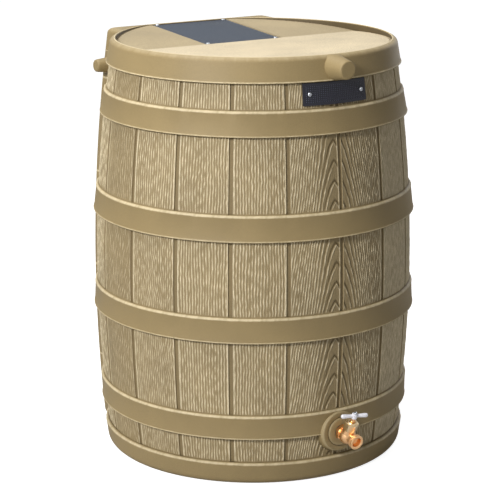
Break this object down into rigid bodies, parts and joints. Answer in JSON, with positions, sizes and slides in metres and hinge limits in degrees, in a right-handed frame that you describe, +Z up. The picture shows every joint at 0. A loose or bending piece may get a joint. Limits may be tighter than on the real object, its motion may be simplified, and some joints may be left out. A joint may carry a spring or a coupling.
{
  "type": "rain barrel",
  "caption": "Flat-backed moulded rain barrel styled as a hooped wooden barrel, with a screened inlet hatch, a screened overflow and a brass spigot.",
  "frame": {"origin": "on the floor, on the axis of the round body", "axes": "+Z up, -Y towards the spigot, +Y towards the flat back"},
  "size_m": [0.6194, 0.6121, 0.7905],
  "materials": {
    "moulded_resin": "tan moulded polyethylene with wood grain",
    "dark_grey_plastic": "satin perforated sheet",
    "black_plastic": "satin perforated sheet",
    "zinc_steel": "zinc plated",
    "brass": "cast and turned red brass",
    "white_metal": "white coated die casting",
    "black_rubber": "moulded rubber",
    "graphite_packing": "pressed graphite packing"
  },
  "bodies": {
    "tank": {"tank_shell": "moulded_resin", "hatch_screen": "dark_grey_plastic", "overflow_screen": "black_plastic", "hatch_screw_1": "zinc_steel", "hatch_screw_2": "zinc_steel", "hatch_screw_3": "zinc_steel", "hatch_screw_4": "zinc_steel", "overflow_screw_1": "zinc_steel", "overflow_screw_2": "zinc_steel", "spigot_insert": "brass", "spigot_gasket": "black_rubber", "spigot_body": "brass", "packing_nut": "brass", "friction_ring": "brass", "stem_packing": "graphite_packing"},
    "valve_washer": {"seat_washer": "black_rubber"},
    "valve_stem": {"stem": "brass", "washer_screw": "brass", "handle": "white_metal", "handle_screw": "zinc_steel"}
  },
  "joints": [
    {"name": "stem_rise", "type": "slide", "parent": "tank", "child": "valve_washer", "axis": [0, -0.4226, 0.9063], "range_m": [0, 0.00428]},
    {"name": "handle_turn", "type": "hinge", "parent": "valve_washer", "child": "valve_stem", "pos_m": [0, -0.32608, 0.0945], "axis": [0, -0.4226, 0.9063], "range_deg": [0, 810]}
  ],
  "couplings": [
    {"joint": "handle_turn", "follows": "stem_rise", "rad_per_m": 3306.9}
  ]
}
